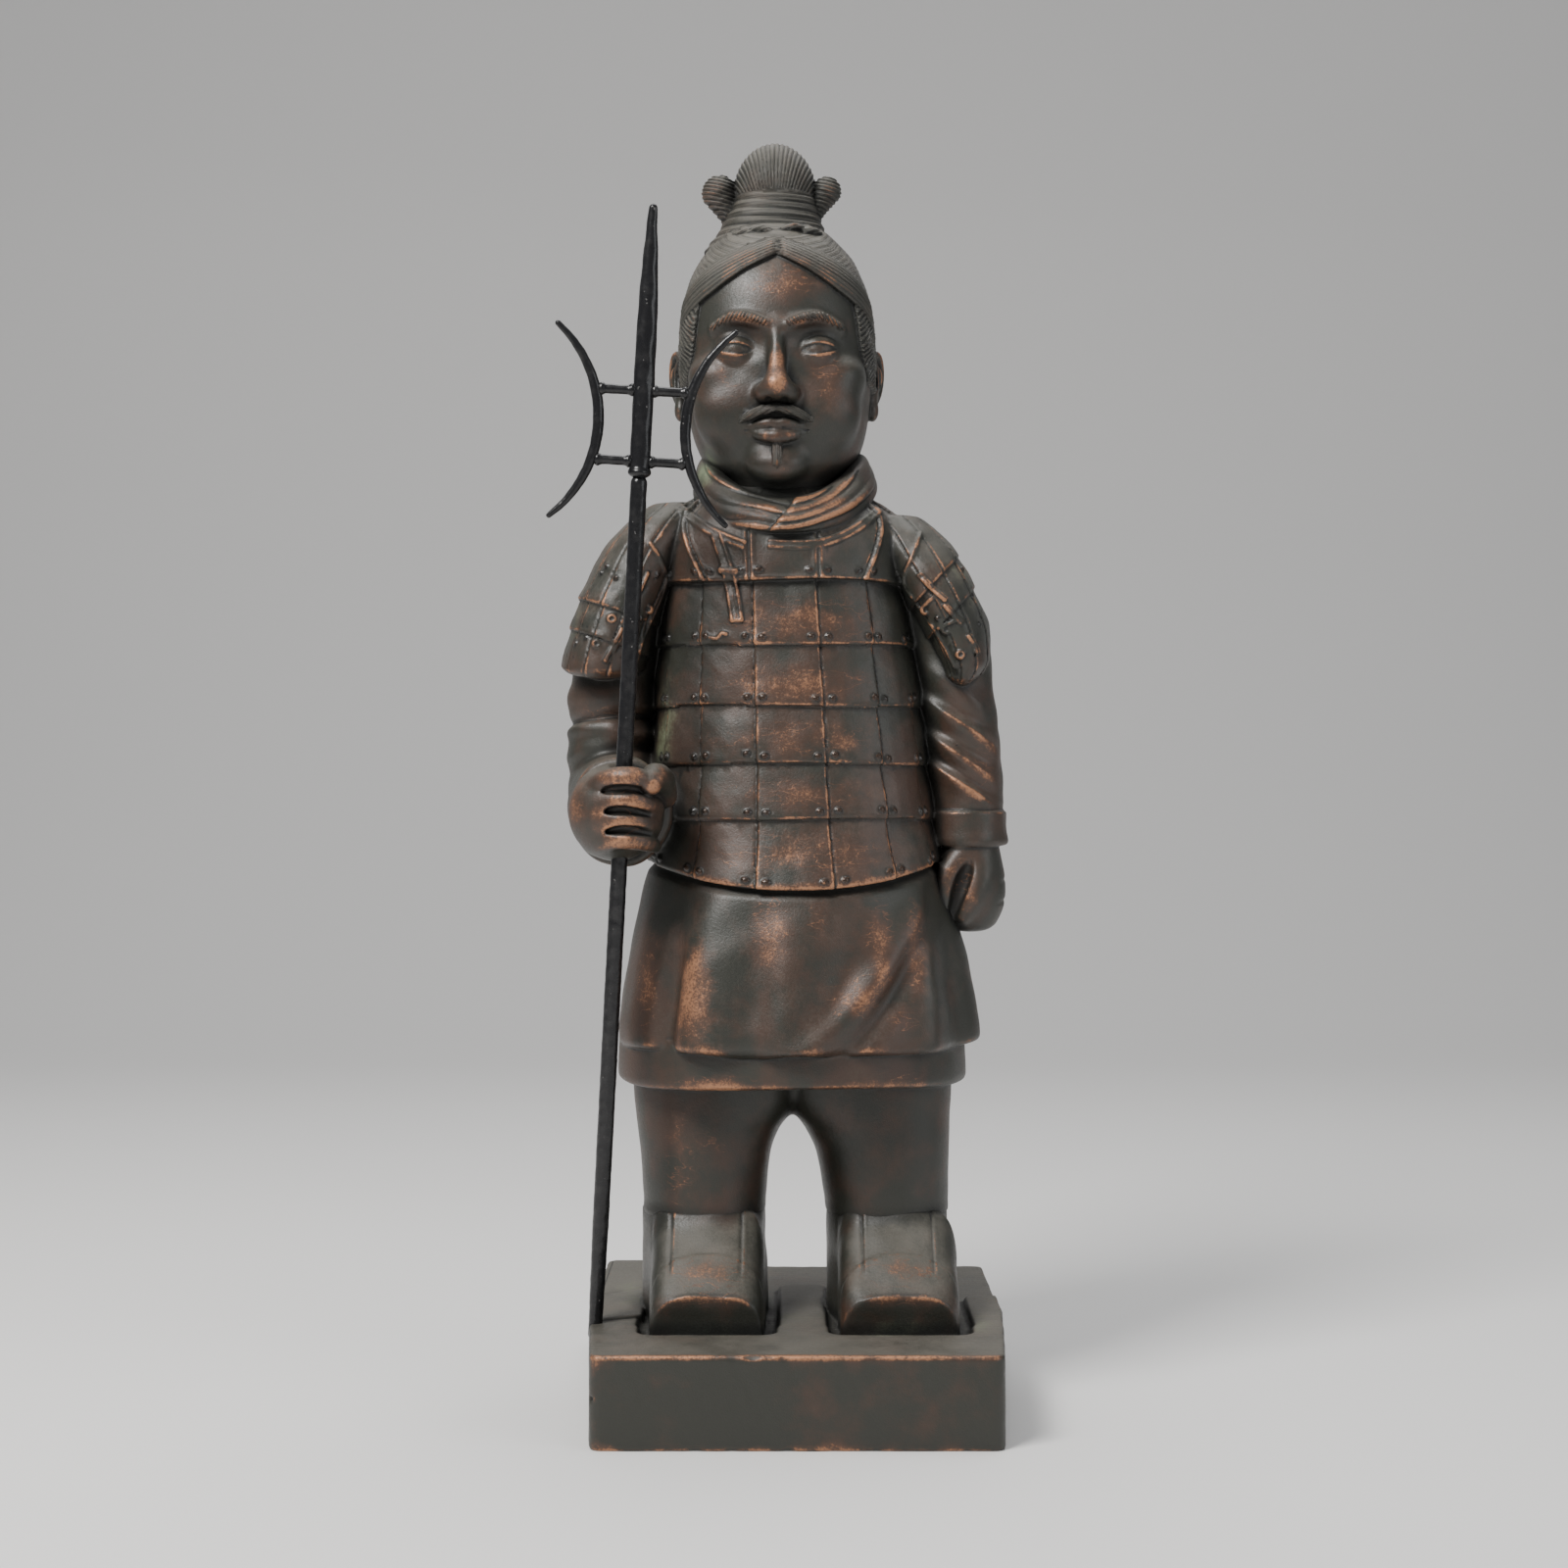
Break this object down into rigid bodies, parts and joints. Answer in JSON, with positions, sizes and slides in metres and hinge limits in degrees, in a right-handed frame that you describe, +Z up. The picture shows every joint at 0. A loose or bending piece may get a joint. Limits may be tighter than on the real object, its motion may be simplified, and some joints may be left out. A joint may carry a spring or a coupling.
{
  "type": "terracotta warrior statue",
  "caption": "Standing armoured guardsman of hollow cast clay, patinated dark bronze, on a block plinth, one fist closed round an upright black iron halberd.",
  "frame": {"origin": "centre of the plinth's flat underside", "axes": "+Z up along the figure's height, the figure faces -Y, +X to the right of a viewer who faces it"},
  "size_m": [0.2892, 0.3, 0.8],
  "materials": {
    "patinated_clay": "fired clay under a dark green-black bronze patina, rubbed through to copper brown on the edges and ridges, satin",
    "black_iron": "welded iron bar painted black, satin gloss, slightly hammered"
  },
  "bodies": {
    "root": {"warrior_casting": "patinated_clay", "halberd_shaft": "black_iron", "halberd_spike": "black_iron", "crescent_blade_left": "black_iron", "crescent_blade_right": "black_iron", "crossbar_lower_left": "black_iron", "crossbar_lower_right": "black_iron", "crossbar_upper_left": "black_iron", "crossbar_upper_right": "black_iron"}
  },
  "joints": []
}
